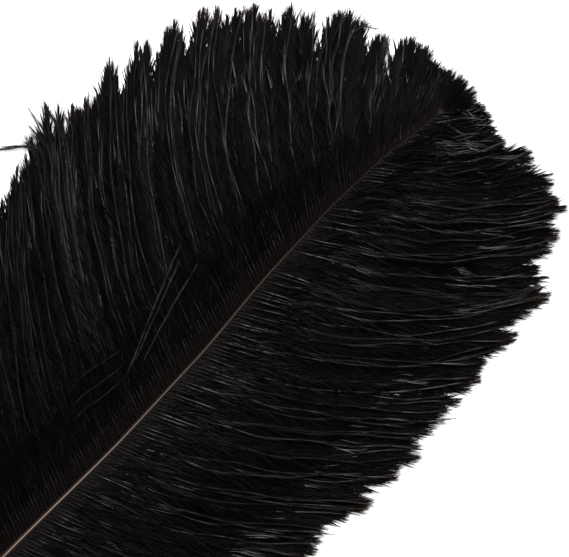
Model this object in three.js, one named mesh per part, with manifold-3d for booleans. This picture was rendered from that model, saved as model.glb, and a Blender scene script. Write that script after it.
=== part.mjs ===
// An ostrich plume lying face up on a table. A tapering shaft starts in a bare quill and ends
// inside the plume. The soft barbs grow from both its sides, sweep forward, and cling together
// in locks that hang down to the table and end in separate points. A plume grows as one piece,
// so the shaft and its locks are fused into one solid.
//
// Millimetres, +Z up. +Y runs from the quill to the tip and +X is the narrower vane's side.
// The origin is on the table, under the middle of the plume.

import * as THREE from "three";
import { mergeVertices } from "three/addons/utils/BufferGeometryUtils.js";
import Module from "manifold-3d";

// ---- the shaft ----
const SHAFT_LENGTH = 385;
const SHAFT_STEPS = 30;
const SHAFT_SIDES = 8;
const QUILL_WIDTH = 4.6;
const SHAFT_TIP_WIDTH = 0.9;
const SHAFT_TAPER = 0.85; // below 1, the shaft thins faster near the quill than near its tip
const SHAFT_FLATNESS = 0.86; // height over width
// The shaft's bend to the side, by distance from the quill's cut end.
const SHAFT_BEND = [
  [0, -6], [90, -3], [168, 0], [225, 1.8], [265, 1.4], [305, -0.8], [335, -1.1], [358, 0.1], [385, 3.7],
];
// The height of the shaft's middle above the table.
const SHAFT_HEIGHT = [[0, 1.9], [60, 4], [130, 9.5], [200, 13], [270, 13], [330, 10], [385, 5]];

// ---- the locks ----
const BARE_QUILL = 42; // the quill's length below the first barbs
const LOCK_STEPS = 5;
const LOCK_OVERLAP = 1.22; // a lock's width over the space between its neighbours
const ROOT_OVERLAP = 1.6; // the same at the shaft
const LOCK_THICKNESS = 5;
const ROOT_THICKNESS = 1.4; // less than the shaft's, which stands proud between the roots
const TIP_THICKNESS = 1.6;
const TIP_WIDTH_SHARE = 0.2; // width left at a lock's point
const SWELL_END = 0.2; // share of a lock's length where it is thickest
const TAPER_START = 0.72; // where it parts from its neighbours
const CREST_HEIGHT = 4.5; // how far a long lock arches up over the shaft before it droops
const CREST_AT = 0.2;
const CREST_REACH = [20, 90]; // reach of the locks where the arch begins to rise and is whole
const LAID_FROM = 0.8; // where it has come down to the table
const SINK = 0.35; // how far a laid lock is pressed flat against the table
const LAID_HEIGHT = TIP_THICKNESS / 2 - SINK; // of a laid lock's middle
// Length of the barbs in each vane, by distance of their root from the quill's cut end.
const WIDE_REACH = [
  [42, 20], [58, 46], [82, 74], [115, 97], [150, 108], [190, 114], [232, 118], [262, 113],
  [287, 105], [316, 86], [352, 51], [385, 17],
];
const NARROW_REACH = [
  [42, 18], [58, 40], [82, 62], [115, 79], [150, 87], [196, 93], [235, 98], [285, 98],
  [315, 96], [337, 84], [359, 47], [385, 18],
];
// Angle between a barb and the shaft in degrees, at the barb's root and at its point.
const ROOT_ANGLE = [[42, 58], [168, 70], [300, 66], [345, 54], [385, 38]];
const POINT_ANGLE = [[42, 38], [168, 44], [300, 42], [345, 36], [385, 24]];
// The locks of each vane towards the tip: where each ends along the shaft, its length over the even
// run of its vane, and its lean towards the shaft in degrees.
const WIDE_LOCKS = [
  [196, 1.01, 0], [211, 1.03, -1], [222, 1.05, 1.5], [233, 1.07, 0], [247, 1, -0.5],
  [255, 1.04, -0.5], [269, 1.04, -2.5], [287, 1.05, -3], [299, 1.02, -5], [311, 1.03, -3],
  [321, 0.98, -0.5], [334, 1.03, -0.5], [342, 1.07, 0.5], [350, 1.07, -0.5], [358, 0.96, -1.5],
  [371, 0.97, 0], [385, 0.93, 0],
];
const NARROW_LOCKS = [
  [211, 1.02, 0], [223, 1.04, 0], [244, 1.03, 0], [254, 1.01, 0], [264, 1.01, 0],
  [276, 1.06, 0], [287, 1.09, 0.5], [298, 1.05, -0.5], [309, 1.02, 0], [318, 1, 0], [328, 1, 0],
  [337, 1.01, 0], [347, 1.06, 0], [363, 1.15, 0], [376, 1.02, 0], [385, 1, 0],
];
const EVEN_PITCH = 12; // of the locks nearer the quill
// How much these differ from the even run, as a share of their length and in degrees.
const LENGTH_SPREAD = 0.05;
const ANGLE_SPREAD = 1.2;
// The last lock, which goes straight on from the shaft's end.
const END_LOCK_START = 383;
const END_LOCK_LENGTH = 16;
const END_LOCK_WIDTH = 7;
const END_LOCK_TAPER_START = 0.3;

const BLACK_DYE = new THREE.MeshStandardMaterial({
  name: "black_barbs",
  color: 0x151213,
  roughness: 0.6,
  metalness: 0,
});

const { clamp, degToRad, lerp, smoothstep } = THREE.MathUtils;
const UP = new THREE.Vector3(0, 0, 1);

// A value between the listed [place, value] pairs, halfway between straight and smooth steps.
function along(list, place) {
  let next = 1;
  while (next < list.length - 1 && list[next][0] < place) next++;
  const [from, low] = list[next - 1];
  const [to, high] = list[next];
  const straight = clamp((place - from) / (to - from), 0, 1);
  return lerp(low, high, (straight + smoothstep(place, from, to)) / 2);
}

// A fixed number from -1 to 1 for lock number i, different for each trait.
function whim(i, trait) {
  const n = Math.sin(i * 12.9898 + trait * 78.233) * 43758.5453;
  return 2 * (n - Math.floor(n)) - 1;
}

// A rod with the given sides, bent along place(t) for t from 0 to 1. Its width lies level.
function bentRod(sides, steps, place, width, thickness) {
  const rod = new THREE.CylinderGeometry(1, 1, 1, sides, steps);
  rod.deleteAttribute("normal");
  rod.deleteAttribute("uv");
  const points = rod.getAttribute("position");
  const v = new THREE.Vector3();
  for (let i = 0; i < points.count; i++) {
    v.fromBufferAttribute(points, i);
    const t = v.y + 0.5;
    const ahead = place(Math.min(1, t + 0.01)).sub(place(Math.max(0, t - 0.01))).normalize();
    const across = ahead.clone().cross(UP).normalize();
    const over = across.clone().cross(ahead);
    const point = place(t);
    point.addScaledVector(across, (v.x * width(t)) / 2);
    point.addScaledVector(over, (v.z * thickness(t)) / 2);
    points.setXYZ(i, point.x, point.y, point.z);
  }
  return mergeVertices(rod, 1e-4);
}

// ---- the plume's pieces ----
function shaftPlace(s) {
  return new THREE.Vector3(along(SHAFT_BEND, s), s, along(SHAFT_HEIGHT, s));
}

function shaft() {
  const width = (t) => lerp(QUILL_WIDTH, SHAFT_TIP_WIDTH, t ** SHAFT_TAPER);
  const thickness = (t) => width(t) * SHAFT_FLATNESS;
  return bentRod(SHAFT_SIDES, SHAFT_STEPS, (t) => shaftPlace(t * SHAFT_LENGTH), width, thickness);
}

// The path of a lock of the given reach and lean from place s on the shaft, as a function of the
// share t of its length. side is 1 on the +X side and -1 on the other.
function sweep(s, side, reach, lean) {
  const root = shaftPlace(s);
  const ahead = shaftPlace(s + 1).sub(shaftPlace(s - 1));
  const heading = Math.atan2(ahead.x, ahead.y);
  const first = degToRad(along(ROOT_ANGLE, s) + lean);
  const last = degToRad(along(POINT_ANGLE, s) + 2 * lean);
  const crest = CREST_HEIGHT * smoothstep(reach, ...CREST_REACH);
  return (t) => {
    // a curve whose direction turns evenly from first to last
    const now = lerp(first, last, t);
    const forward = (reach * (Math.sin(first) - Math.sin(now))) / (first - last);
    const outward = (side * reach * (Math.cos(now) - Math.cos(first))) / (first - last);
    const arch = crest * smoothstep(t, 0, CREST_AT) * (1 - smoothstep(t, CREST_AT, LAID_FROM));
    return new THREE.Vector3(
      root.x + forward * Math.sin(heading) + outward * Math.cos(heading),
      root.y + forward * Math.cos(heading) - outward * Math.sin(heading),
      lerp(root.z, LAID_HEIGHT, smoothstep(t, 0, LAID_FROM)) + arch,
    );
  };
}

// The lock that grows from start to end on the shaft. It fills the space between the even paths
// from those places, and a little more, until it tapers to its point.
function lock(side, start, end, length, lean) {
  const reachAt = (place) => along(side > 0 ? NARROW_REACH : WIDE_REACH, place);
  const before = sweep(start, side, reachAt(start), 0);
  const after = sweep(end, side, reachAt(end), 0);
  const middle = (start + end) / 2;
  const path = sweep(middle, side, reachAt(middle) * length, lean);
  const width = (t) => {
    const heading = path(t + 0.01).sub(path(t)).setZ(0).normalize();
    const space = Math.abs(heading.cross(after(t).sub(before(t)).setZ(0)).z);
    const overlap = lerp(ROOT_OVERLAP, LOCK_OVERLAP, smoothstep(t, 0, SWELL_END));
    return space * overlap * lerp(1, TIP_WIDTH_SHARE, smoothstep(t, TAPER_START, 1));
  };
  const thickness = (t) => {
    const swollen = lerp(ROOT_THICKNESS, LOCK_THICKNESS, smoothstep(t, 0, SWELL_END));
    return lerp(swollen, TIP_THICKNESS, smoothstep(t, SWELL_END, 1));
  };
  return bentRod(4, LOCK_STEPS, path, width, thickness);
}

// Every lock of one vane, from the quill to the tip.
function vane(side) {
  const listed = side > 0 ? NARROW_LOCKS : WIDE_LOCKS;
  const evenEnd = listed[0][0] - EVEN_PITCH;
  const count = Math.round((evenEnd - BARE_QUILL) / EVEN_PITCH);
  const even = Array.from({ length: count }, (_, i) => [
    lerp(BARE_QUILL, evenEnd, (i + 1) / count),
    1 + LENGTH_SPREAD * whim(i, side),
    ANGLE_SPREAD * whim(i, 5 + side),
  ]);
  let start = BARE_QUILL;
  return [...even, ...listed].map(([end, length, lean]) => {
    const made = lock(side, start, end, length, lean);
    start = end;
    return made;
  });
}

function endLock() {
  const start = shaftPlace(END_LOCK_START);
  const ahead = start.clone().sub(shaftPlace(END_LOCK_START - 10)).setZ(0).normalize();
  const place = (t) => {
    const point = start.clone().addScaledVector(ahead, END_LOCK_LENGTH * t);
    return point.setZ(lerp(start.z, LAID_HEIGHT, smoothstep(t, 0, LAID_FROM)));
  };
  const width = (t) => END_LOCK_WIDTH * lerp(1, TIP_WIDTH_SHARE, smoothstep(t, END_LOCK_TAPER_START, 1));
  return bentRod(4, LOCK_STEPS, place, width, () => TIP_THICKNESS);
}

// ---- joining ----
const wasm = await Module();
wasm.setup();

function solid(geometry) {
  const vertProperties = new Float32Array(geometry.getAttribute("position").array);
  const triVerts = new Uint32Array(geometry.index.array);
  return new wasm.Manifold(new wasm.Mesh({ numProp: 3, vertProperties, triVerts }));
}

// What would lie below the table is taken off, so that the laid locks rest on flat faces.
function trimmedAtTable(body) {
  const below = new THREE.BoxGeometry(2 * SHAFT_LENGTH, 4 * SHAFT_LENGTH, 10).translate(0, 0, -5);
  below.deleteAttribute("normal");
  below.deleteAttribute("uv");
  return body.subtract(solid(mergeVertices(below, 1e-4)));
}

// Crossing locks can close a tiny pocket between them, which isn't kept: only the outer body is.
function outerBody(body) {
  return body.decompose().reduce((best, next) => (next.volume() > best.volume() ? next : best));
}

function plumeGeometry() {
  const pieces = [shaft(), endLock(), ...vane(1), ...vane(-1)].map(solid);
  const mesh = outerBody(trimmedAtTable(wasm.Manifold.union(pieces))).getMesh();
  const geometry = new THREE.BufferGeometry()
    .setAttribute("position", new THREE.BufferAttribute(new Float32Array(mesh.vertProperties), 3))
    .setIndex(new THREE.BufferAttribute(new Uint32Array(mesh.triVerts), 1));
  geometry.computeBoundingBox();
  const { min, max } = geometry.boundingBox;
  return geometry.translate(-(min.x + max.x) / 2, -(min.y + max.y) / 2, -min.z);
}

const plume = new THREE.Mesh(plumeGeometry(), BLACK_DYE);
plume.name = "feather";

const group = new THREE.Group();
group.add(plume);
export default group;
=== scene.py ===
"""An ostrich plume, dyed black, lying face up: a horn shaft and two vanes of fine barbs.

Each barb is a thin stem with hundreds of barbules that cling to it. Neighbouring barbs draw
together into strands, and strands into the locks that end in separate points at the edge.
Lengths in this script are in millimetres unless they say otherwise; meshes are in metres.
"""

import math
from collections import namedtuple
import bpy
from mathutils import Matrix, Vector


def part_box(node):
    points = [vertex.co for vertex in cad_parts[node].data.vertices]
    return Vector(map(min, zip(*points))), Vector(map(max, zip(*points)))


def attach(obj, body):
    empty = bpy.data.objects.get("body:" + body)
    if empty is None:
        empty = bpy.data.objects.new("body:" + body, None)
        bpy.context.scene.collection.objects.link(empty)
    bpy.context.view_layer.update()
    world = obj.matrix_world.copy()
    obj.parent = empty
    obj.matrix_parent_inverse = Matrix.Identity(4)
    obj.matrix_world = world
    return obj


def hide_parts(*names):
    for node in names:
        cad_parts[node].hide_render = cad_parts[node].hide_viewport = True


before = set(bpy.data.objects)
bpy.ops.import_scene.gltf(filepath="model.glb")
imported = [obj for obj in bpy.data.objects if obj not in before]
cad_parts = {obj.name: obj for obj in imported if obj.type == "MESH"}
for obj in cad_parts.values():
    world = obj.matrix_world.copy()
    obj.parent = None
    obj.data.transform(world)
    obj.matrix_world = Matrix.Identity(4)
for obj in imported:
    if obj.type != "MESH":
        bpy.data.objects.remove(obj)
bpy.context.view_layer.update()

from types import SimpleNamespace

import bpy
import numpy as np

MM = 0.001
rng = np.random.default_rng(46)

# ---- the plume's driving sizes, the same as in the solid ----
SHAFT_LENGTH = 385.0
QUILL_WIDTH = 4.6
SHAFT_TIP_WIDTH = 0.9
SHAFT_TAPER = 0.85  # below 1, the shaft thins faster near the quill than near its tip
SHAFT_FLATNESS = 0.86  # height over width
# The shaft's bend to the side, by distance from the quill's cut end.
SHAFT_BEND = [
    (0, -6), (90, -3), (168, 0), (225, 1.8), (265, 1.4), (305, -0.8), (335, -1.1), (358, 0.1), (385, 3.7),
]
# The height of the shaft's middle above the table.
SHAFT_HEIGHT = [(0, 1.9), (60, 4), (130, 9.5), (200, 13), (270, 13), (330, 10), (385, 5)]
BARE_QUILL = 42.0  # the quill's length below the first barbs
WIDE, NARROW = -1, 1  # the side of the shaft that each vane grows on
# Length of the barbs in each vane, by distance of their root from the quill's cut end.
REACH = {
    WIDE: [
        (42, 20), (58, 46), (82, 74), (115, 97), (150, 108), (190, 114), (232, 118), (262, 113),
        (287, 105), (316, 86), (352, 51), (385, 17),
    ],
    NARROW: [
        (42, 18), (58, 40), (82, 62), (115, 79), (150, 87), (196, 93), (235, 98), (285, 98),
        (315, 96), (337, 84), (359, 47), (385, 18),
    ],
}
# Angle between a barb and the shaft in degrees, at the barb's root and at its point.
ROOT_ANGLE = [(42, 58), (168, 70), (300, 66), (345, 54), (385, 38)]
POINT_ANGLE = [(42, 38), (168, 44), (300, 42), (345, 36), (385, 24)]
CREST = 4.5  # how high long barbs arch over the shaft before they droop
CREST_REACH = (20, 90)  # the barbs' reach where the arch begins to rise and where it is whole

# ---- the barbs ----
BARBS_PER_SIDE = 480
BARB_PITCH = (SHAFT_LENGTH - BARE_QUILL) / BARBS_PER_SIDE
BARB_POINTS = 20
T = np.linspace(0, 1, BARB_POINTS)[None, :]  # places of a barb's points, as shares of its length
ROOT_STRAY = 0.25  # how far roots stray from their even places, as a share of the pitch
UNDER, SHORT, LONG = range(3)  # the three tiers: the lowest barbs, the short ones on top, the rest
SHORT_SHARE = 0.45  # share of the upper barbs that stop short
# Length of the short barbs over their vane's even run, by place on the shaft.
SHORT_REACH = {
    WIDE: [(42, 0.78), (222, 0.77), (250, 0.7), (300, 0.69), (335, 0.66), (350, 0.6), (385, 0.5)],
    NARROW: [(42, 0.76), (230, 0.72), (290, 0.6), (330, 0.6), (369, 0.68), (385, 0.7)],
}
SHORT_SPREAD = (0.88, 1.08)
LENGTH_LOSS = 0.07  # the most that any other barb may lack of its lock's outline
UNDER_REACH, LONG_REACH = 0.975, 0.995  # length over the lock's outline
# The next ones go by tier.
TIER_LIFT = (-0.6, 1.2, 0.6)  # height over the vane's even run
LEAN_SHARE = (1.0, 0.3, 1.0)  # how much of a lock's lean they follow
ROOT_SPREAD = (0.12, 1.0, 1.0)  # how much their angles at the root differ, in degrees
POINT_SPREAD = (0.24, 3.5, 2.0)  # and at the point
POINT_PULL = {WIDE: (0.5, 0.3, 0.95), NARROW: (0.2, 0.3, 0.95)}  # how far they go to their lock's point
# How far the points of the short barbs turn out from the run in degrees, and those of the long
# ones in. It grows between the two places.
SHORT_TURN = {WIDE: 14.0, NARROW: 28.0}
LONG_TURN = {WIDE: 0.0, NARROW: 12.0}
TURN_PLACES = (250.0, 320.0)
EVEN_RISE = (0.05, 0.5)  # the shares of a barb's length between which it comes up by its lift

# ---- the strands, in which a few neighbours of the upper tiers cling ----
STRAND_START = 0.42  # the chance that a barb begins a new strand
STRAND_HOLD = (0.3, 0.7)  # how far its barbs draw together
STRAND_TEMPO = (3, 9)  # of its one long wave, in radians over a barb's length
STRAND_SWING = 0.9
RIPPLE_TEMPO = (12, 24)  # of its short waves, in the same way
RIPPLE = 0.45
WAVE_WAY = (0.5, -0.85)  # the way that a wave goes: outwards and back along the shaft
HOLD_GROWS, SWING_GROWS, RIPPLE_GROWS = (0.04, 0.3), (0.1, 0.4), (0.1, 0.3)  # in shares of the length
STRAND_LOFT, BARB_LOFT = 0.35, 0.15  # how much strands and barbs differ in height
LOFT_GROWS = (0.02, 0.3)
TIP_LOFT_LOSS = 0.4

# ---- the locks ----
# Those that can be told apart near the tip. Each ends at a place along the shaft, and has a length
# over the even run of its vane, a lean away from the shaft in degrees, a grip (1 draws its barbs to
# one point, 0 leaves them side by side) and the length that is left where it meets the next one.
LISTED_LOCKS = {
    WIDE: [
        (196, 1.01, 0.0, 0.3, 0.97), (204, 1.04, -1.0, 0.7, 0.94), (211, 0.99, 0.5, 0.6, 0.9),
        (215, 1.04, 2.5, 0.8, 0.93), (219, 1.06, 2.0, 0.8, 0.93), (224, 1.03, 1.0, 0.6, 0.95),
        (228, 1.07, 1.2, 0.8, 0.93), (233, 1.06, 0.0, 0.7, 0.89), (240, 1.0, 0.0, 0.4, 0.96),
        (247, 1.0, -0.7, 0.4, 0.95), (255, 1.06, -0.5, 0.5, 0.92), (269, 1.07, -2.0, 0.3, 0.85),
        (287, 1.07, -3.6, 0.5, 0.88), (299, 1.04, -4.7, 0.0, 0.98), (311, 1.07, -4.2, 0.0, 0.94),
        (321, 1.02, -0.8, 0.3, 0.82), (328, 1.05, -0.5, 0.5, 0.96), (334, 1.02, -0.5, 0.0, 0.82),
        (350, 1.1, 0.0, 0.1, 0.66), (358, 1.0, -1.5, 0.1, 0.68), (372, 1.02, 0.0, 0.0, 0.98),
        (385, 0.93, 0.0, 0.0, 0.8),
    ],
    NARROW: [
        (211, 0.96, 0.0, 0.2, 0.93), (223, 1.01, 0.0, 0.3, 0.95), (244, 1.03, 0.0, 0.2, 0.98),
        (264, 1.02, 0.0, 0.15, 0.95), (276, 1.05, 0.0, 0.3, 0.98), (287, 1.06, 0.5, 0.3, 0.95),
        (309, 1.055, -0.5, 0.15, 0.95), (318, 0.99, 0.0, 0.25, 0.92), (337, 0.99, 0.0, 0.05, 0.96),
        (347, 1.03, 0.0, 0.15, 1.0), (352, 1.15, 0.0, 0.25, 1.0), (363, 1.14, 0.0, 0.1, 0.85),
        (376, 0.97, 0.0, 0.2, 0.9), (382, 1.0, 0.0, 0.3, 0.88), (385, 0.95, 0.0, 0.2, 0.85),
    ],
}
# The same for the plain ones nearer the quill, as ranges.
PLAIN_PITCH = {WIDE: 11.0, NARROW: 7.0}
PLAIN_STRAY = 0.3  # how far their borders stray, as a share of the pitch
PLAIN_LENGTH = (0.95, 1.03)
PLAIN_LEAN = (-1, 1)
PLAIN_GRIP = {WIDE: (0.1, 0.6), NARROW: (0.1, 0.3)}
PLAIN_LEFT = (0.88, 0.95)
FIRST_LEFT = 0.9  # the length that is left at the quill
LOCK_WIDEST = 1.1  # the outermost place of a barb in its lock, where 1 is the lock's border
LOCK_MIX = 0.5  # how far barbs stray into the next lock, in pitches of barbs
LOOSE_FULLNESS, TIGHT_FULLNESS = 4, 1  # from blunt locks to pointed ones
TIGHT_GRIP = 0.6  # the grip that makes a lock pointed
GATHER = (0.8, 1.05)  # the shares of a lock's length between which its barbs draw to its point
LEAN_FROM = 0.25  # the share of a barb's length where its lean begins to show
BORDER_LEAN = 0.6  # how far barbs between two locks follow the lean of both
BORDER_POWER = 1.5  # how late that begins on the way from a lock's middle
EVEN_RUN = 6.0  # the stretch of shaft over which the lowest barbs even out their lean
UNDER_FULLNESS = {WIDE: 0.7, NARROW: 3.0}  # how much blunter the locks of the lowest barbs are

# ---- loose barbs ----
END_TUFT = 20  # barbs in each half of the tuft that goes on from the shaft's end
END_TUFT_REACH = 15.0
END_TUFT_SPREAD = (0.85, 1.1)
END_TUFT_ANGLE = (2, 36)  # from the shaft's direction, in degrees
END_TUFT_CURL = 0.65  # that angle at the barb's point over the one at its root
END_TUFT_DROP = 0.8  # its points are as low as a vane is at this share of the way out
# the painted highlight of the tuft's barbs
END_TUFT_SHINE = 0.12
# Others lie in the wide vane, by places along the shaft and away from it, from root to point: some
# have fallen across the vane, and some stick out of its edge.
FALLEN = [
    [(228, 1), (238, 10), (248.6, 14.2), (268, 22), (287.4, 29.3)],
    [(231, 1), (244, 11.5), (252, 14.6), (270, 21), (284, 26)],
    [(239, 1), (248, 9.6), (255, 12.6), (271, 17), (287.7, 20.8)],
    [(196, 1), (214, 20), (230.5, 23.1), (240, 21.6), (248.2, 19.7)],
    [(190, 1), (205, 13), (221.6, 14.7), (230, 13.6), (238.1, 12.5)],
    [(193, 1), (208, 16.5), (224, 18.6), (233, 17.4), (243, 15.6)],
]
WISPS = [
    [(233, 1), (250, 40), (268, 72), (277.5, 90), (275, 95.5), (269.4, 99.6)],
    [(232, 1), (249, 41), (266, 72), (276, 88.5), (276, 93.5), (271.5, 97.5)],
    [(234, 1), (251, 40), (268, 71), (278.5, 88), (278, 92), (274.5, 95.6)],
    [(343, 1), (364, 24), (380, 36), (388, 37), (391, 33)],
    [(236, 1), (253, 40), (272, 68), (284, 81), (288.5, 89), (292, 99)],
    [(237, 1), (254, 41), (273, 69), (285.5, 82), (289.5, 90), (290.5, 98)],
    [(234.5, 1), (251, 41), (270, 70), (281, 82.5), (284.5, 91), (286.5, 100.5)],
    [(233.5, 1), (250, 41), (269, 71), (279, 82), (281.5, 88), (282.5, 97)],
    [(233, 1), (250, 42), (268, 71.5), (277.5, 82), (281, 87.5), (281, 94)],
]
FALLEN_LIFT = 1.9
FALLEN_RISE = (0.3, 0.6)  # the shares of their length between which they come up by it
FALLEN_FINENESS = 0.6  # length of their barbules over the others'
LOOSE_DOWN = 0.85  # the share of the vane's reach that is the whole way out for them
LOOSE_LOFT = 0.3
# a loose barb's own tone is this share of its painted highlight
LOOSE_TONE = 0.2  # of a loose barb out of the light, over its tone in it
LOOSE_OUTER = 0.6  # the place of its point in the colour's run

# ---- the barbs' rise and droop ----
ROOT_INSET = 0.3  # from the shaft's middle to the barbs' roots, as a share of its width
ROOT_HEIGHT = 0.18  # of the roots over the shaft's middle, as a share of its width
ROOT_FREE = 0.08  # the share of a barb's length in which it leaves the shaft
CREST_AT, CREST_END = 0.17, 0.75  # the top and the end of the arch, as shares of the way out
DROOP = (0.1, 0.88)  # where the barbs begin to come down to the table, and where they lie on it
LAID_HEIGHT = 1.3  # of a laid barb's stem
LEAST_HEIGHT = 0.5  # of any stem

# ---- stems and barbules ----
STEM_WIDTH = 0.36
STEM_GIRTH, UNDER_GIRTH, ROOT_GIRTH = 1.1, 0.8, 1.1  # over that width; the last is added at the root
TIP_GIRTH_LOSS = 0.5
BARBULE_LENGTH = 8.5
BARBULE_WIDTH = 0.34
BARBULE_LENGTH_SPREAD, BARBULE_WIDTH_SPREAD = (0.55, 1.3), (0.7, 1.3)
BARBULE_TILT_SPREAD, BARBULE_TONE_SPREAD = (0.35, 1.5), (0.5, 1.4)
BARBULE_SPACING = {"foot": 0.36, "middle": 0.3, "head": 0.285}  # counting both edges of a barb
TIP_HAIR = 1.8  # how far barbules reach past the end of their barb
BAND_FLUFF = 0.4  # length of the barbules in the brown band over the others'
TILT, TIP_TILT = 4.5, 1.5  # angle between barbule and stem in degrees, and what is added further out
TIP_TILT_GROWS = (0.6, 0.9)
# The barbules of the lowest barbs are long, broad and sparse, and close the vane underneath.
UNDER_FLUFF = 1.3
UNDER_GAP, UNDER_TIP_GAP = 1.5, 0.5  # spacing over the others', and what is taken off further out
UNDER_GAP_CLOSES = (0.5, 0.85)
UNDER_TILT, UNDER_TIP_TILT = 20, 11  # angle as above, and what is taken off at the barb's point
BREADTH, UNDER_BREADTH = 0.7, 3.0  # over the barbules' width
TIP_BREADTH_LOSS = 0.6
LAST_STRETCH = (0.86, 1)  # where the barbules close up and narrow to the barb's point
BARBULE_RISE = 0.49  # how steeply barbules stand up from their stem's top
BARBULE_SAG = 0.5  # how far they all turn down, where 1 lays the topmost ones flat
TABLE_GAP = 0.15  # the lowest that a barbule may hang

# ---- painted highlights and shade: where the light would catch the barbs, painted into their colour ----
ROOT_BAND = {WIDE: (3.0, 8.5), NARROW: (4.0, 9.0)}  # the stems lie side by side in a smooth brown band
FULL_BAND_REACH = 50.0  # barbs shorter than this have a narrower band
LEAST_BAND = 0.3
BAND_SHINE = 0.2
ROOT_PART = 0.2  # share of the colour's run along a barb that the band takes up
# the narrow side's band shows less brown at the shaft, and its grey there is painted sheen
ROOT_START = {WIDE: 0.0, NARROW: 0.6}  # share of the band's brown that is gone at the shaft itself
# painted sheen just past the brown band: much brighter on the narrow side, a little painted shade on the wide
# side
ROOT_SHINE = {WIDE: -0.12, NARROW: 1.0}  # how much brighter the barbs are just past the band
ROOT_SHINE_AT, ROOT_SHINE_SPREAD = 13, 10  # from the root
EVEN_SHINE, SHORT_TIP_SHINE = 0.5, 0.5  # of all barbs, and what the short ones' points have more
SHORT_TIP = (0.6, 0.95)
# painted shade: the lowest barbs get only this share of the painted highlight
UNDER_SHINE = 0.15  # of the lowest barbs over the others'
# How much of that painted highlight each vane gets, by place on the shaft, and how much that grows towards
# its edge; where it is low, the vane is painted in shade.
SHEEN_BY_PLACE = {
    WIDE: [(42, 0.6), (190, 0.6), (240, 0.9), (300, 1.1), (385, 1.1)],
    NARROW: [(42, 0.75), (200, 0.75), (270, 1.0), (385, 1.15)],
}
OUTER_SHEEN = {WIDE: 0.0, NARROW: 0.9}
OUTER_PART = (0.5, 1)
BASE_TONE, TONE_SPREAD = 0.025, 0.01  # of a barb out of the light, from 0 (black) to 1 (grey)
STRAND_SHINE, BARB_SHINE = (0.65, 1.2), (0.75, 1.1)
# painted highlights, broken into strokes along each barb
STROKE, STROKE_SWING = 0.6, 0.5  # the light comes and goes along a barb
STROKE_TEMPO = (0.35, 0.65)  # radians per millimetre
# painted highlight on the barbules along the stem's top
LIT_FROM = 0.65  # barbules on the stem's top are lit, from this height on; 1 is the very top

# ---- the shaft's mesh ----
SHAFT_RINGS, SHAFT_SIDES = 120, 16
KEEL_START, KEEL_WHOLE = BARE_QUILL, BARE_QUILL + 60  # the round quill turns into a keeled shaft
KEEL_PINCH = 0.12  # how much narrower its top and its underside get
GROOVE_FROM, GROOVE_DEPTH = -0.8, 0.35  # the groove along its underside
BORE_WIDTH, BORE_END_WIDTH = 0.7, 0.8  # of the quill's hollow, over the cut end and over itself
BORE_DEPTH = 14

# ---- the view ----
VIEW_WIDTH = 199.15  # from the view's left to its right
TIP_DIRECTION = 46.5  # degrees from the view's right to the plume's tip
VIEW_CENTRE = (4.34, 305.5)  # across the shaft and along it
VIEW_HEIGHT = 8.0  # above the table, where the width is measured
LENS, SENSOR = 200.0, 36.0


# ======== shapes of the plume ========
def smooth(low, high, value):
    """0 up to low, 1 from high on, and an even S between them."""
    t = np.clip((value - low) / (high - low), 0, 1)
    return t * t * (3 - 2 * t)


def along(pairs, place):
    """A value between the listed (place, value) pairs, halfway between straight and smooth steps."""
    at, value = (np.array(column, float) for column in zip(*pairs))
    place = np.clip(place, at[0], at[-1])
    k = np.clip(np.searchsorted(at, place) - 1, 0, len(at) - 2)
    t = (place - at[k]) / (at[k + 1] - at[k])
    return value[k] + (value[k + 1] - value[k]) * (t + t * t * (3 - 2 * t)) / 2


def by_tier(values, tier):
    return np.array(values, float)[tier]


def shaft_width(s):
    return QUILL_WIDTH + (SHAFT_TIP_WIDTH - QUILL_WIDTH) * (s / SHAFT_LENGTH) ** SHAFT_TAPER


def heading(s):
    """The shaft's direction in the plane of the table, as an angle from +Y towards +X."""
    return np.arctan2(along(SHAFT_BEND, s + 1) - along(SHAFT_BEND, s - 1), 2)


def sweep(side, s, reach, first, last, t):
    """Places at shares t of barbs rooted at s, whose angle to the shaft goes from first to last."""
    s, reach, first, last = (values[:, None] for values in (s, reach, first, last))
    first, last = np.radians(first), np.radians(last)
    least_turn = 0.01
    last = np.where(np.abs(first - last) < least_turn, first - least_turn, last)
    now = first + (last - first) * t
    forward = reach * (np.sin(first) - np.sin(now)) / (first - last)
    outward = side * reach * (np.cos(now) - np.cos(first)) / (first - last)
    sine, cosine = np.sin(heading(s)), np.cos(heading(s))
    return along(SHAFT_BEND, s) + forward * sine + outward * cosine, s + forward * cosine - outward * sine


Locks = namedtuple("Locks", "start end length lean grip left right")


def vane_locks(side):
    """Every lock of a vane, from the quill to the tip. Left and right are the lengths that remain
    where it meets the lock before it and the one after it."""
    pitch = PLAIN_PITCH[side]
    listed = LISTED_LOCKS[side]
    first_listed = listed[0][0] - pitch
    count = round((first_listed - BARE_QUILL) / pitch)
    ends = np.linspace(BARE_QUILL, first_listed, count + 1)[1:]
    ends[:-1] += rng.uniform(-PLAIN_STRAY, PLAIN_STRAY, count - 1) * pitch
    ranges = (PLAIN_LENGTH, PLAIN_LEAN, PLAIN_GRIP[side], PLAIN_LEFT)
    plain = [(end, *(rng.uniform(*each) for each in ranges)) for end in ends]
    locks, start, left = [], BARE_QUILL, FIRST_LEFT
    for end, length, lean, grip, right in plain + listed:
        locks.append((start, end, length, lean, grip, left, right))
        start, left = end, right
    return Locks(*np.array(locks).T)


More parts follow.
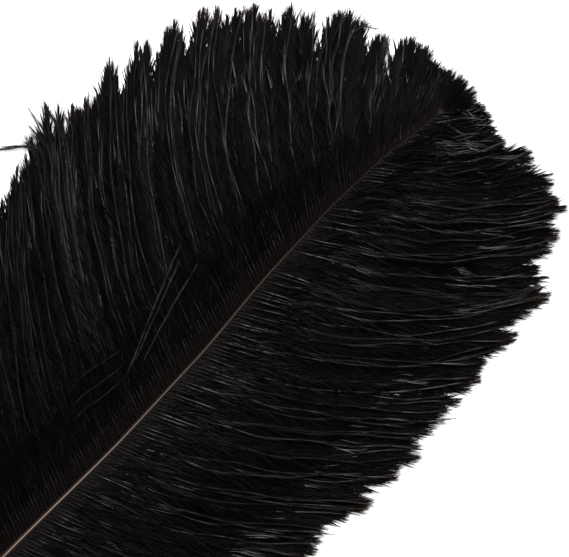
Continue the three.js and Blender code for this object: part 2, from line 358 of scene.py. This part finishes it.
def barb_reach(side, s, tier, lock, place):
    """Lengths of barbs. The place in a lock goes from -1 at its start to 1 at its end."""
    even = along(REACH[side], s)
    left = np.where(place < 0, lock.left, lock.right)
    tight = smooth(0, TIGHT_GRIP, lock.grip)
    fullness = LOOSE_FULLNESS + (TIGHT_FULLNESS - LOOSE_FULLNESS) * tight
    fullness = fullness + np.where(tier == UNDER, UNDER_FULLNESS[side], 0)
    outline = lock.length + (left - lock.length) * np.abs(place) ** fullness
    reach = even * outline * (1 - rng.uniform(0, LENGTH_LOSS, len(s)))
    reach = reach * np.where(tier == UNDER, UNDER_REACH, LONG_REACH)
    short = even * along(SHORT_REACH[side], s) * rng.uniform(*SHORT_SPREAD, len(s))
    return np.where(tier == SHORT, short, reach)


def barb_lean(s, tier, locks, of, place):
    """Leans of barbs: their lock's, mixed with the next lock's towards the border between them."""
    lean = locks.lean[of]
    beside = np.clip(of + np.where(place < 0, -1, 1), 0, len(locks.lean) - 1)
    border = BORDER_LEAN * (lean + locks.lean[beside]) / 2
    lean = lean + (border - lean) * np.abs(place) ** BORDER_POWER
    nearness = np.exp(-(((s[:, None] - s) / EVEN_RUN) ** 2))
    evened = nearness @ lean / nearness.sum(1)
    return np.where(tier == UNDER, evened, lean) * by_tier(LEAN_SHARE, tier)


def barb_runs(side, s, tier, reach, lean):
    """Paths of barbs that follow the vane's sweep, and further out their own lean too."""
    even = along(REACH[side], s)
    turn = smooth(*TURN_PLACES, s)
    inward = by_tier((0, 0, LONG_TURN[side]), tier) * turn
    outward = by_tier((0, SHORT_TURN[side], 0), tier) * turn
    first = along(ROOT_ANGLE, s) + inward + by_tier(ROOT_SPREAD, tier) * rng.normal(0, 1, len(s))
    last = along(POINT_ANGLE, s) - inward + outward + by_tier(POINT_SPREAD, tier) * rng.normal(0, 1, len(s))
    t = T * (reach / even)[:, None]
    x, y = sweep(side, s, even, first, last, t)
    leaning_x, leaning_y = sweep(side, s, even, first + lean, last + 2 * lean, t)
    part = smooth(LEAN_FROM, 1, T)
    return x + (leaning_x - x) * part, y + (leaning_y - y) * part


def drawn_to_points(side, x, y, tier, reach, lock, lean):
    """Draws the barbs together towards their lock's point."""
    middle = (lock.start + lock.end) / 2
    middle_reach = along(REACH[side], middle)
    share = T * (reach / middle_reach)[:, None]
    first, last = along(ROOT_ANGLE, middle) + lean, along(POINT_ANGLE, middle) + 2 * lean
    middle_x, middle_y = sweep(side, middle, middle_reach, first, last, share)
    pull = lock.grip[:, None] * smooth(*GATHER, share)
    pull = pull * by_tier(POINT_PULL[side], tier)[:, None]
    return x + (middle_x - x) * pull, y + (middle_y - y) * pull


def held_in_strands(side, x, y, tier, strand):
    """Lets the upper barbs of each strand cling to each other and wander a little."""
    strands = strand.max() + 1
    upper = np.where(tier == UNDER, 0, 1)[:, None]
    members = np.maximum(np.bincount(strand, minlength=strands), 1)[:, None]
    hold = rng.uniform(*STRAND_HOLD, strands)[strand][:, None] * smooth(*HOLD_GROWS, T) * upper
    tempo = rng.uniform(*STRAND_TEMPO, strands)[strand][:, None]
    phase = rng.uniform(0, 2 * np.pi, strands)[strand][:, None]
    swing = rng.normal(0, STRAND_SWING, strands)[strand][:, None]
    ripple_tempo = rng.uniform(*RIPPLE_TEMPO, strands)[strand][:, None]
    wave = swing * np.sin(T * tempo + phase) * smooth(*SWING_GROWS, T)
    ripple = RIPPLE * np.sin(T * ripple_tempo + phase) * smooth(*RIPPLE_GROWS, T)
    wave = (wave + ripple) * upper
    held = []
    for values, way in ((x, side * WAVE_WAY[0]), (y, WAVE_WAY[1])):
        total = np.zeros((strands, BARB_POINTS))
        np.add.at(total, strand, values)
        shift = (total / members)[strand] - values
        held.append(values + shift * hold + way * wave)
    return held


def vane_barbs(side):
    """The barbs of one vane, in their tiers, strands and locks."""
    count = BARBS_PER_SIDE
    stray = rng.uniform(-ROOT_STRAY, ROOT_STRAY, count)
    s = BARE_QUILL + (np.arange(count) + 0.5 + stray) * BARB_PITCH
    locks = vane_locks(side)
    of = np.searchsorted(locks.end, s + rng.normal(0, LOCK_MIX * BARB_PITCH, count))
    of = np.clip(of, 0, len(locks.end) - 1)
    lock = Locks(*(column[of] for column in locks))
    half_width = np.maximum((lock.end - lock.start) / 2, 1)
    place = np.clip((s - (lock.start + lock.end) / 2) / half_width, -LOCK_WIDEST, LOCK_WIDEST)
    upper = np.where(rng.random(count) < SHORT_SHARE, SHORT, LONG)
    tier = np.where(np.arange(count) % 2 == 0, UNDER, upper)

    reach = barb_reach(side, s, tier, lock, place)
    lean = barb_lean(s, tier, locks, of, place)
    x, y = barb_runs(side, s, tier, reach, lean)
    x, y = drawn_to_points(side, x, y, tier, reach, lock, lean)
    strand = np.cumsum(rng.random(count) < STRAND_START)
    strands = strand.max() + 1
    x, y = held_in_strands(side, x, y, tier, strand)
    return finished(side, SimpleNamespace(
        s=s, x=x, y=y, tier=tier, reach=reach, drop=np.broadcast_to(T, x.shape),
        outer=T * (reach / (along(REACH[side], s) * lock.length))[:, None],
        lift=by_tier(TIER_LIFT, tier), rise=EVEN_RISE, fineness=1.0,
        loft=rng.normal(0, STRAND_LOFT, strands)[strand] + rng.normal(0, BARB_LOFT, count),
        tone=BASE_TONE + TONE_SPREAD * rng.normal(size=count),
        shine=rng.uniform(*STRAND_SHINE, strands)[strand] * rng.uniform(*BARB_SHINE, count),
    ))


def extra_barbs(side, s, x, y, drop, lift, rise, shine, fineness):
    """Barbs whose points are given. Each point has a place in drop, the share of the way out to the
    vane's edge. They come up by the lift between the two shares of their length in rise."""
    count = len(s)
    return finished(side, SimpleNamespace(
        s=s, x=x, y=y, tier=np.full(count, LONG), drop=drop,
        reach=np.hypot(np.diff(x), np.diff(y)).sum(1), outer=np.broadcast_to(LOOSE_OUTER * T, x.shape),
        lift=np.full(count, lift), rise=rise, fineness=fineness, loft=rng.normal(0, LOOSE_LOFT, count),
        tone=np.full(count, LOOSE_TONE * shine), shine=np.full(count, shine),
    ))


def tuft_barbs(side):
    """One half of the tuft that goes on from the shaft's end."""
    s = np.full(END_TUFT, SHAFT_LENGTH - 1)
    reach = END_TUFT_REACH * rng.uniform(*END_TUFT_SPREAD, END_TUFT)
    angle = np.linspace(*END_TUFT_ANGLE, END_TUFT)
    x, y = sweep(side, s, reach, angle, END_TUFT_CURL * angle, T)
    drop = np.broadcast_to(END_TUFT_DROP * T, x.shape)
    return extra_barbs(side, s, x, y, drop, 0.0, EVEN_RISE, END_TUFT_SHINE, 1.0)


def loose_barbs(side, routes, lift, rise, fineness):
    """Barbs along hand-set routes, each a smooth curve through its points."""
    xs, ys = [], []
    for route in routes:
        points = np.array(route, float)
        points = np.concatenate([[2 * points[0] - points[1]], points, [2 * points[-1] - points[-2]]])
        run = np.linspace(0, len(route) - 1, BARB_POINTS)
        k = np.minimum(run.astype(int), len(route) - 2)
        u = (run - k)[:, None]
        before, here, there, after = (points[k + step] for step in range(4))
        curve = here + u / 2 * (there - before) + u**2 * (before - 2.5 * here + 2 * there - after / 2)
        curve = curve + u**3 * (1.5 * (here - there) + (after - before) / 2)
        xs.append(side * curve[:, 1])
        ys.append(curve[:, 0])
    s = np.array([route[0][0] for route in routes], float)
    x, y = np.array(xs), np.array(ys)
    drop = np.abs(x - along(SHAFT_BEND, y)) / (LOOSE_DOWN * along(REACH[side], s))[:, None]
    return extra_barbs(side, s, x, y, drop, lift, rise, 1.0, fineness)


def barb_points(side, barbs):
    """Gives the barbs their height, and fastens their roots to the shaft."""
    s = barbs.s[:, None]
    root = along(SHAFT_HEIGHT, s) + ROOT_HEIGHT * shaft_width(s)
    down = smooth(*DROOP, barbs.drop)
    z = root * (1 - down) + LAID_HEIGHT * down + barbs.lift[:, None] * smooth(*barbs.rise, T)
    arch = smooth(0, CREST_AT, barbs.drop) * (1 - smooth(CREST_AT, CREST_END, barbs.drop))
    z = z + CREST * smooth(*CREST_REACH, along(REACH[side], s)) * arch
    z = z + barbs.loft[:, None] * smooth(*LOFT_GROWS, T) * (1 - TIP_LOFT_LOSS * T)
    inset = (1 - smooth(0, ROOT_FREE, T)) * ROOT_INSET * side * shaft_width(s)
    x = barbs.x + inset * np.cos(heading(s))
    y = barbs.y - inset * np.sin(heading(s))
    return np.stack([x, y, np.maximum(z, LEAST_HEIGHT)], 2)


def light_caught(side, barbs, away, free):
    """How bright the barbs' painted highlights are, from 0 to 1, at a distance away from the root; low values
    are painted shade. Free is 0 in the brown band and 1 past it."""
    s = barbs.s[:, None]
    short = (barbs.tier == SHORT)[:, None]
    under = (barbs.tier == UNDER)[:, None]
    bright = EVEN_SHINE + ROOT_SHINE[side] * np.exp(-(((away - ROOT_SHINE_AT) / ROOT_SHINE_SPREAD) ** 2))
    bright = bright + SHORT_TIP_SHINE * short * smooth(*SHORT_TIP, T)
    tempo, phase = rng.uniform(*STROKE_TEMPO, s.shape), rng.uniform(0, 2 * np.pi, s.shape)
    stroke = STROKE + STROKE_SWING * np.sin(away * tempo + phase)
    # painted shade: a fallen barb gets painted highlight only where it has come up
    shown = smooth(0, barbs.rise[0], T)  # a fallen barb is lit only where it has come up
    gloss = along(SHEEN_BY_PLACE[side], s) * (1 + OUTER_SHEEN[side] * smooth(*OUTER_PART, T))
    shine = BAND_SHINE * (1 - free) + free * barbs.shine[:, None] * bright * stroke * shown * gloss
    return np.clip(np.where(under, UNDER_SHINE * shine, shine), 0, 1)


def finished(side, barbs):
    """The barbs' points and lengths, and what the mesh work needs to know at each point."""
    under = (barbs.tier == UNDER)[:, None]
    length = barbs.reach[:, None]
    away = T * length
    free = smooth(*ROOT_BAND[side], away / np.clip(length / FULL_BAND_REACH, LEAST_BAND, 1))
    brown_gone = ROOT_START[side] + (1 - ROOT_START[side]) * free
    fluff = np.where(under, UNDER_FLUFF, (BAND_FLUFF + (1 - BAND_FLUFF) * free) * barbs.fineness)
    girth = np.where(under, UNDER_GIRTH, STEM_GIRTH) + ROOT_GIRTH * (1 - free)
    left_over = ((1 - T) * length + TIP_HAIR) / BARBULE_LENGTH
    closing = smooth(*LAST_STRETCH, T)
    tilt = TILT + TIP_TILT * smooth(*TIP_TILT_GROWS, T)
    values = {
        # the place in the colour's run from root to point, the tone out of the light, and the painted
        # highlight
        "part": np.clip(ROOT_PART * brown_gone + (1 - ROOT_PART) * barbs.outer, 0, 1),
        "tone": np.clip(barbs.tone, 0, 1)[:, None],
        "shine": light_caught(side, barbs, away, free),
        # the stem's width
        "girth": girth * (1 - TIP_GIRTH_LOSS * T),
        # the barbules' length, spacing, angle in radians and width
        "fluff": np.minimum(fluff, left_over),
        "gap": np.where(under, UNDER_GAP - UNDER_TIP_GAP * smooth(*UNDER_GAP_CLOSES, T), 1.0),
        "tilt": np.radians(np.where(under, UNDER_TILT - UNDER_TIP_TILT * closing, tilt)),
        "breadth": np.where(under, UNDER_BREADTH, BREADTH) * (1 - TIP_BREADTH_LOSS * closing),
    }
    made = {key: np.broadcast_to(value, barbs.x.shape) for key, value in values.items()}
    return {"points": barb_points(side, barbs), "reach": barbs.reach, **made}


def together(groups):
    return {key: np.concatenate([group[key] for group in groups]) for key in groups[0]}


# ======== meshes ========
def row_place():
    """How far the shaft's own frame is moved to lie in the row's frame, from the quill's cut end."""
    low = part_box("feather")[0]
    corners = np.array([v.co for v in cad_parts["feather"].data.vertices])
    cut_end = corners[corners[:, 1] < low.y + 0.5 * MM]
    return np.array([cut_end[:, 0].mean() / MM - SHAFT_BEND[0][1], low.y / MM, 0])


SHIFT = row_place()


def new_object(name, vertices, edges=(), faces=()):
    mesh = bpy.data.meshes.new(name)
    mesh.from_pydata(((np.asarray(vertices) + SHIFT) * MM).tolist(), edges, faces)
    mesh.update()
    made = bpy.data.objects.new(name, mesh)
    bpy.context.scene.collection.objects.link(made)
    return made


def store_values(made, name, values):
    """Keeps one number for each of the mesh's points, under a name."""
    attribute = made.data.attributes.new(name, "FLOAT", "POINT")
    attribute.data.foreach_set("value", np.ravel(values).astype(np.float32))


def guides(name, barbs, chosen):
    """An edge mesh with one chain for each chosen barb, and its values at each point."""
    points = barbs["points"][chosen].reshape(-1, 3)
    edges = [(k, k + 1) for k in range(len(points) - 1) if (k + 1) % BARB_POINTS]
    made = new_object(name, points, edges)
    for key, values in barbs.items():
        if key not in ("points", "reach"):
            store_values(made, key, values[chosen])
    return made


class Tree:
    """A Geometry Nodes tree with named inputs, built one node at a time."""

    def __init__(self, name):
        self.tree = bpy.data.node_groups.new(name, "GeometryNodeTree")
        self.tree.interface.new_socket("Geometry", in_out="INPUT", socket_type="NodeSocketGeometry")
        self.tree.interface.new_socket("Geometry", in_out="OUTPUT", socket_type="NodeSocketGeometry")
        self.start = self.tree.nodes.new("NodeGroupInput")
        self.end = self.tree.nodes.new("NodeGroupOutput")

    def entry(self, name, kind="NodeSocketFloat"):
        self.tree.interface.new_socket(name, in_out="INPUT", socket_type=kind)
        return self.start.outputs[name]

    def feed(self, socket, value):
        if isinstance(value, bpy.types.NodeSocket):
            self.tree.links.new(value, socket)
        elif value is not None:
            socket.default_value = value

    def node(self, kind, *values, out=0, **settings):
        """Adds a node, feeds its enabled inputs in order, and returns an output socket."""
        made = self.tree.nodes.new(kind)
        for key, value in settings.items():
            setattr(made, key, value)
        for socket, value in zip([i for i in made.inputs if i.enabled], values):
            self.feed(socket, value)
        return [o for o in made.outputs if o.enabled][out]

    def maths(self, operation, *values):
        return self.node("ShaderNodeMath", *values, operation=operation)

    def product(self, first, *others):
        for other in others:
            first = self.maths("MULTIPLY", first, other)
        return first

    def total(self, *terms):
        """The sum of (value, factor) pairs."""
        parts = [self.product(value, factor) for value, factor in terms]
        result = parts[0]
        for part in parts[1:]:
            result = self.maths("ADD", result, part)
        return result

    def vectors(self, operation, *values):
        return self.node("ShaderNodeVectorMath", *values, operation=operation)

    def scaled(self, vector, factor):
        made = self.vectors("SCALE", vector)
        self.feed(made.node.inputs["Scale"], factor)
        return made

    def position(self):
        place = self.node("GeometryNodeInputPosition")
        return [self.node("ShaderNodeSeparateXYZ", place, out=k) for k in range(3)]

    def random(self, low, high, seed):
        return self.node("FunctionNodeRandomValue", low, high, None, seed)

    def named(self, name):
        return self.node("GeometryNodeInputNamedAttribute", name, data_type="FLOAT")

    def store(self, geometry, name, value, data_type="FLOAT", domain="POINT"):
        return self.node("GeometryNodeStoreNamedAttribute", geometry, None, name, value,
                         data_type=data_type, domain=domain)


def add_stems(b, curves, width):
    """Three-sided rods along the chains."""
    ring = b.node("GeometryNodeCurvePrimitiveCircle", 3, b.product(width, 0.5))
    ring = b.store(ring, "cross", b.product(b.node("GeometryNodeInputIndex"), 0.5))
    stems = b.node("GeometryNodeCurveToMesh", curves, ring, b.named("girth"), True)
    stems = b.node("GeometryNodeSetShadeSmooth", stems, None, True)
    stems = b.store(stems, "out", b.named("part"))
    stems = b.store(stems, "stem", 1.0)
    # the stems' tone is their painted sheen
    return b.store(stems, "tone", b.named("shine"))


def barbule_tone(b, top, seed):
    """The barbule's own tone out of the light, and on the stem's top a painted highlight, its tone in the
    light.
    """
    # painted highlight: barbules near the stem's top are painted lighter
    glow = b.node("ShaderNodeMapRange", top, LIT_FROM, 1.0, 0.0, 1.0, interpolation_type="SMOOTHSTEP")
    dark = b.product(b.named("tone"), b.maths("SUBTRACT", 1.0, glow))
    tone = b.maths("ADD", dark, b.product(b.named("shine"), glow))
    return b.maths("MINIMUM", b.product(tone, b.random(*BARBULE_TONE_SPREAD, seed)), 1.0)


def add_barbules(b, curves, spacing, length, width, rise, seed):
    """Thin three-sided spikes that leave the stems on all sides and cling to them."""
    roll_seed, lean_seed, length_seed, width_seed, tone_seed = (
        b.maths("ADD", seed, float(k)) for k in range(1, 6))
    spots = b.node("GeometryNodeResampleCurve", curves, None, None, None, mode="LENGTH")
    b.feed(spots.node.inputs["Length"], b.product(spacing, b.named("gap")))
    ahead = b.node("GeometryNodeInputTangent")
    level = b.vectors("NORMALIZE", b.vectors("CROSS_PRODUCT", ahead, (0.0, 0.0, 1.0)))
    over = b.vectors("CROSS_PRODUCT", level, ahead)
    roll = b.random(0.0, 2 * math.pi, roll_seed)
    lean = b.product(b.named("tilt"), b.random(*BARBULE_TILT_SPREAD, lean_seed))
    top = b.maths("SINE", roll)
    spots = b.store(spots, "tone", barbule_tone(b, top, tone_seed))
    # broad barbules lie flatter than fine ones
    hang = b.product(b.maths("SUBTRACT", top, BARBULE_SAG), b.maths("DIVIDE", rise, b.named("breadth")))
    beside = b.vectors("ADD", b.scaled(level, b.maths("COSINE", roll)), b.scaled(over, hang))
    way = b.vectors("ADD", b.scaled(ahead, b.maths("COSINE", lean)), b.scaled(beside, b.maths("SINE", lean)))
    turned = b.node("FunctionNodeAlignRotationToVector", None, None, way, axis="Z")
    long = b.product(length, b.named("fluff"), b.random(*BARBULE_LENGTH_SPREAD, length_seed))
    thick = b.product(width, b.named("breadth"), b.random(*BARBULE_WIDTH_SPREAD, width_seed))
    scale = b.node("ShaderNodeCombineXYZ", thick, thick, long)
    spike = b.node("GeometryNodeMeshCone", 3, 1, 1, 0.0, 0.5, 1.0, fill_type="NGON")
    _, sideways, height = b.position()
    spike = b.store(spike, "out", height)
    spike = b.store(spike, "cross", b.maths("ADD", sideways, 0.5))
    barbules = b.node("GeometryNodeInstanceOnPoints", spots, None, spike, None, None, turned, scale)
    barbules = b.node("GeometryNodeRealizeInstances", barbules)
    return b.node("GeometryNodeSetShadeSmooth", barbules, None, False)


def add_bake_map(b, mesh):
    """The map that colours can be baked to: alike faces lie together, stems beside barbules."""
    bulge = b.maths("POWER", b.maths("ABSOLUTE", b.maths("SUBTRACT", b.named("cross"), 0.5)), 2.0)
    margin = (1.0, 0.02)
    stem, fade, out = b.named("stem"), b.named("fade"), b.named("out")
    u = b.total((stem, 0.5), (fade, 0.36), (out, 0.08), (bulge, 0.03), margin)
    v = b.total((b.named("tone"), 0.88), (b.named("cross"), 0.06), margin)
    return b.store(mesh, "OFBake", b.node("ShaderNodeCombineXYZ", u, v), "FLOAT2", "CORNER")


def barb_tree():
    """Turns guide chains into stems and the barbules that cling to them."""
    b = Tree("barbs_and_barbules")
    stem_width = b.entry("Stem width")
    spacing = b.entry("Barbule spacing")
    length = b.entry("Barbule length")
    width = b.entry("Barbule width")
    rise = b.entry("Rise")
    table = b.entry("Table height")
    seed = b.entry("Seed", "NodeSocketInt")
    barbule_finish = b.entry("Barbule finish", "NodeSocketMaterial")
    stem_finish = b.entry("Stem finish", "NodeSocketMaterial")

    curves = b.node("GeometryNodeMeshToCurve", b.start.outputs[0])
    both = b.node("GeometryNodeJoinGeometry")
    b.feed(both.node.inputs[0], add_barbules(b, curves, spacing, length, width, rise, seed))
    b.feed(both.node.inputs[0], add_stems(b, curves, stem_width))
    # what would hang through the table lies on it
    x, y, z = b.position()
    held = b.node("ShaderNodeCombineXYZ", x, y, b.maths("MAXIMUM", z, table))
    both = b.node("GeometryNodeSetPosition", both, None, held)
    both = b.store(both, "fade", b.total((b.named("part"), 0.9), (b.named("out"), 0.1)))
    both = add_bake_map(b, both)
    done = b.node("GeometryNodeRealizeInstances", both)
    done = b.node("GeometryNodeSetMaterial", done, None, barbule_finish)
    done = b.node("GeometryNodeSetMaterial", done, b.maths("GREATER_THAN", b.named("stem"), 0.5), stem_finish)
    b.feed(b.end.inputs[0], done)
    return b.tree


def grown(guide, tree, values):
    """The guide's finished plain mesh, with the tree's inputs set by name. The guide is removed."""
    modifier = guide.modifiers.new("grow", "NODES")
    modifier.node_group = tree
    for item in tree.interface.items_tree:
        if item.in_out == "INPUT" and item.name in values:
            modifier[item.identifier] = values[item.name]
    name = guide.name.removesuffix("_guide")
    evaluated = guide.evaluated_get(bpy.context.evaluated_depsgraph_get())
    mesh = bpy.data.meshes.new_from_object(evaluated)
    mesh.name = name
    made = bpy.data.objects.new(name, mesh)
    bpy.context.scene.collection.objects.link(made)
    bpy.data.objects.remove(guide)
    return made


def shrunk(ring, share):
    return ring.mean(0) + (ring - ring.mean(0)) * share


def shaft_rings(around):
    """Rings of points at the given angles around the shaft, where 0 is its top. It is round at the
    quill, and further on keeled, with a groove along its underside."""
    rings = []
    for s in np.linspace(0, SHAFT_LENGTH, SHAFT_RINGS):
        half = shaft_width(s) / 2
        keel = float(smooth(KEEL_START, KEEL_WHOLE, s))
        across = half * np.sin(around) * (1 - KEEL_PINCH * keel * np.abs(np.cos(around)))
        up = half * SHAFT_FLATNESS * np.cos(around)
        up = np.where(np.cos(around) < GROOVE_FROM, up * (1 - GROOVE_DEPTH * keel), up)
        x = along(SHAFT_BEND, s) + across * math.cos(heading(s))
        y = s - across * math.sin(heading(s))
        rings.append(np.stack([x, y, np.maximum(along(SHAFT_HEIGHT, s) + up, 0)], 1))
    return rings


def shaft_piece(material):
    """The horn shaft, with the hollow in the quill's cut end."""
    around = np.linspace(0, 2 * np.pi, SHAFT_SIDES, endpoint=False)
    outer = shaft_rings(around)
    mouth = shrunk(outer[0], BORE_WIDTH)
    deep = mouth + (0, BORE_DEPTH, along(SHAFT_HEIGHT, BORE_DEPTH) - along(SHAFT_HEIGHT, 0))
    rings = [shrunk(deep, BORE_END_WIDTH), deep, mouth, *outer]
    faces = [
        (r + k, r + (k + 1) % SHAFT_SIDES, r + SHAFT_SIDES + (k + 1) % SHAFT_SIDES, r + SHAFT_SIDES + k)
        for r in range(0, (len(rings) - 1) * SHAFT_SIDES, SHAFT_SIDES)
        for k in range(SHAFT_SIDES)
    ]
    vertices = np.concatenate(rings)
    faces.append(tuple(range(SHAFT_SIDES - 1, -1, -1)))
    faces.append(tuple(range(len(vertices) - SHAFT_SIDES, len(vertices))))
    made = new_object("shaft", vertices, (), faces)
    made.data.polygons.foreach_set("use_smooth", [True] * len(faces))
    run = np.concatenate([np.zeros(len(rings) - SHAFT_RINGS), np.linspace(0, 1, SHAFT_RINGS)])
    store_values(made, "crown", np.tile(np.cos(around) * 0.5 + 0.5, len(rings)))
    store_values(made, "run", np.repeat(run, SHAFT_SIDES))
    made.data.materials.append(material)
    return made


# ======== finishes ========
BLACK, WHITE = (0, 0, 0), (1, 1, 1)


def new_material(name, roughness, specular):
    material = bpy.data.materials.new(name)
    material.use_nodes = True
    shader = material.node_tree.nodes["Principled BSDF"]
    shader.inputs["Roughness"].default_value = roughness
    shader.inputs["Specular IOR Level"].default_value = specular
    return material, material.node_tree, shader.inputs["Base Color"]


def colours_along(tree, name, stops):
    """A colour ramp over the mesh's values of that name, from (place, colour) stops in order."""
    reader = tree.nodes.new("ShaderNodeAttribute")
    reader.attribute_name = name
    ramp = tree.nodes.new("ShaderNodeValToRGB")
    elements = ramp.color_ramp.elements
    for place, _ in stops[1:-1]:
        elements.new(place)
    for element, (place, colour) in zip(elements, stops):
        element.position = place
        element.color = (*colour, 1)
    tree.links.new(reader.outputs["Fac"], ramp.inputs["Fac"])
    return ramp.outputs["Color"]


def mixed(tree, first, second, factor):
    mix = tree.nodes.new("ShaderNodeMix")
    mix.data_type = "RGBA"
    tree.links.new(factor, mix.inputs["Factor"])
    # the sixth and seventh inputs and the second output are the ones for colours
    tree.links.new(first, mix.inputs[6])
    tree.links.new(second, mix.inputs[7])
    return mix.outputs[2]


def barb_colour(tree):
    """The colour of barbs: black to grey by tone, the grey being painted sheen, brown next to the shaft and
    at the thin ends.
    """
    # black by the barbules' own tone, grey where that tone carries painted sheen
    dye_and_sheen = colours_along(tree, "tone", [
        (0.0, (0.0006, 0.0005, 0.0005)), (0.4, (0.0245, 0.0225, 0.0228)), (1.0, (0.108, 0.101, 0.102))])
    browns = colours_along(tree, "fade", [
        (0.0, (0.0032, 0.0022, 0.002)), (0.5, (0.004, 0.003, 0.003)), (1.0, (0.03, 0.018, 0.013))])
    amount = colours_along(tree, "fade", [
        (0.0, (0.9,) * 3), (0.1, (0.7,) * 3), (0.19, BLACK), (0.86, BLACK), (1.0, (0.9,) * 3)])
    return mixed(tree, dye_and_sheen, browns, amount)


def black_barbules():
    """Dyed barbules: matte and near black, with a painted highlight on those along the stem's top, warmer and
    browner where they thin out.
    """
    material, tree, colour = new_material("black_barbules", roughness=0.6, specular=0.01)
    tree.links.new(barb_colour(tree), colour)
    return material


def grey_stems():
    """The barbs' stems: horn that took less dyeing, made greyer still by painted sheen where the light would
    catch them, with a soft gloss.
    """
    material, tree, colour = new_material("grey_stems", roughness=0.45, specular=0.02)
    tree.links.new(barb_colour(tree), colour)
    return material


def dark_horn():
    """The shaft's horn: brown-black, with a painted highlight as a pale line along its top that darkens
    towards the tip.
    """
    material, tree, colour = new_material("dark_horn", roughness=0.5, specular=0.02)
    brown = colours_along(tree, "run", [(0.0, (0.02, 0.013, 0.01)), (1.0, (0.004, 0.003, 0.003))])
    # painted highlight along the shaft's top, paler near the quill
    pale_highlight = colours_along(tree, "run", [
        (0.0, (0.2, 0.15, 0.125)), (0.5, (0.15, 0.112, 0.093)), (0.68, (0.055, 0.044, 0.04)),
        (0.86, (0.009, 0.008, 0.007)), (1.0, (0.003, 0.0025, 0.0025))])
    ridge_highlight = colours_along(tree, "crown", [(0.975, BLACK), (0.992, WHITE)])
    tree.links.new(mixed(tree, brown, pale_highlight, ridge_highlight), colour)
    return material


# ======== the set ========
def place_camera():
    """Straight above the plume, turned so that the tip points to the upper right."""
    data = bpy.data.cameras.new("camera")
    data.lens = LENS
    data.sensor_width = SENSOR
    data.clip_end = 50.0
    camera = bpy.data.objects.new("camera", data)
    bpy.context.scene.collection.objects.link(camera)
    centre = (np.array([*VIEW_CENTRE, VIEW_HEIGHT]) + SHIFT) * MM
    distance = VIEW_WIDTH * MM * LENS / SENSOR
    camera.location = (centre[0], centre[1], centre[2] + distance)
    camera.rotation_euler = (0, 0, math.radians(90 - TIP_DIRECTION))
    bpy.context.scene.camera = camera


def place_lamp(place, aim, size, power):
    """A round area light; place, aim and size are in metres, power in watts."""
    data = bpy.data.lights.new("key", "AREA")
    data.shape = "DISK"
    data.size = size
    data.energy = power
    lamp = bpy.data.objects.new("key", data)
    lamp.location = place
    lamp.rotation_euler = (Vector(aim) - Vector(place)).to_track_quat("-Z", "Y").to_euler()
    bpy.context.scene.collection.objects.link(lamp)


def set_studio():
    floor_size = 12.0  # metres
    bpy.ops.mesh.primitive_plane_add(size=floor_size, location=(0, 0, 0))
    floor = bpy.context.object
    floor.name = "floor"
    material, _, colour = new_material("pale_floor", roughness=0.9, specular=0.1)
    colour.default_value = (0.93, 0.93, 0.93, 1)
    floor.data.materials.append(material)
    world = bpy.data.worlds.new("studio")
    world.use_nodes = True
    background = world.node_tree.nodes["Background"]
    background.inputs["Color"].default_value = (1, 1, 1, 1)
    background.inputs["Strength"].default_value = 1.1
    bpy.context.scene.world = world
    place_lamp(place=(-0.62, 0.75, 1.15), aim=(0, 0.05, 0), size=0.7, power=40)
    bpy.context.scene.view_settings.view_transform = "Standard"


# ======== making ========
place_camera()
set_studio()

tree = barb_tree()
settings = {
    "Stem width": STEM_WIDTH * MM,
    "Barbule length": BARBULE_LENGTH * MM,
    "Barbule width": BARBULE_WIDTH * MM,
    "Rise": BARBULE_RISE,
    "Table height": TABLE_GAP * MM,
    "Barbule finish": black_barbules(),
    "Stem finish": grey_stems(),
}
for side, vane in ((WIDE, "wide_vane"), (NARROW, "narrow_vane")):
    groups = [vane_barbs(side), tuft_barbs(side)]
    if side == WIDE:
        fallen = loose_barbs(side, FALLEN, FALLEN_LIFT, FALLEN_RISE, FALLEN_FINENESS)
        groups = [fallen, loose_barbs(side, WISPS, 0.0, EVEN_RISE, 1.0), *groups]
    barbs = together(groups)
    # each vane is made in three stretches that hold the same length of barbs
    total = np.cumsum(barbs["reach"])
    stretches = len(BARBULE_SPACING)
    stretch = np.minimum((total / total[-1] * stretches).astype(int), stretches - 1)
    for k, (part, spacing) in enumerate(BARBULE_SPACING.items()):
        name = f"{vane}_{part}"
        guide = guides(name + "_guide", barbs, np.flatnonzero(stretch == k))
        piece = grown(guide, tree, {**settings, "Barbule spacing": spacing * MM, "Seed": 10 * k + side + 5})
        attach(piece, "root")
        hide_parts("feather")

shaft = shaft_piece(dark_horn())
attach(shaft, "root")
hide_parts("feather")
